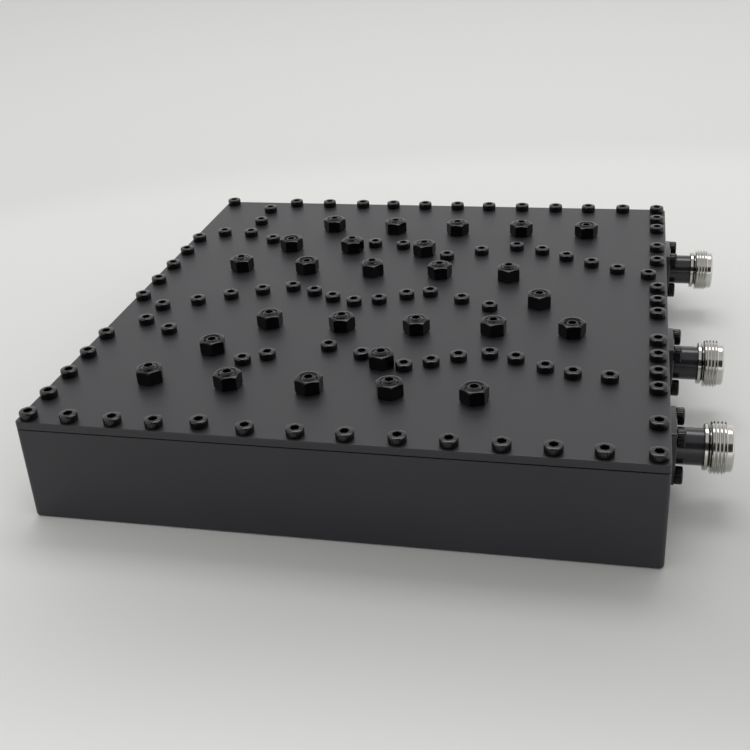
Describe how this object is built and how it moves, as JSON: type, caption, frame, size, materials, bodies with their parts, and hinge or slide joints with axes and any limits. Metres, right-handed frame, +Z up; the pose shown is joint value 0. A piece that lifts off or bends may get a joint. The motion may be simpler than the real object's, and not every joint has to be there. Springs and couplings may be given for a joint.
{
  "type": "rf combiner",
  "caption": "Flat rectangular cavity-filter combiner box with a screwed cover, locked tuning screws and coaxial panel jacks along one side.",
  "frame": {"origin": "centre of the rectangular underside of the body", "axes": "+X from the plain left-hand side to the side that carries the jacks, +Y from the front to the back, +Z up out of the cover"},
  "size_m": [0.2087, 0.198, 0.0396],
  "materials": {
    "black_paint": "satin sprayed paint on aluminium",
    "black_oxide_steel": "black oxide with an oil film on steel",
    "silver_plate": "silver plated, turned",
    "zinc_steel": "zinc plated",
    "nickel_plate": "bright nickel plate, painted on flange and barrel",
    "ptfe": "turned, satin",
    "gold_plate": "gold plated",
    "copper": "bare copper strip"
  },
  "bodies": {
    "root": {"housing": "black_paint", "cover_plate": "black_paint", "cover_screws": "black_oxide_steel", "lock_nuts": "black_oxide_steel", "tuning_screws": "black_oxide_steel", "coupling_screws": "black_oxide_steel", "front_resonator_1": "silver_plate", "front_resonator_2": "silver_plate", "front_resonator_3": "silver_plate", "front_resonator_4": "silver_plate", "front_resonator_5": "silver_plate", "front_resonator_6": "silver_plate", "rear_resonator_1": "silver_plate", "rear_resonator_2": "silver_plate", "rear_resonator_3": "silver_plate", "rear_resonator_4": "silver_plate", "rear_resonator_5": "silver_plate", "rear_resonator_6": "silver_plate", "resonator_screws": "zinc_steel", "rear_jack_body": "nickel_plate", "common_jack_body": "nickel_plate", "front_jack_body": "nickel_plate", "rear_jack_insulator": "ptfe", "common_jack_insulator": "ptfe", "front_jack_insulator": "ptfe", "rear_jack_contact": "gold_plate", "common_jack_contact": "gold_plate", "front_jack_contact": "gold_plate", "flange_screws": "black_oxide_steel", "rear_lead": "copper", "common_lead": "copper", "front_lead": "copper"}
  },
  "joints": []
}
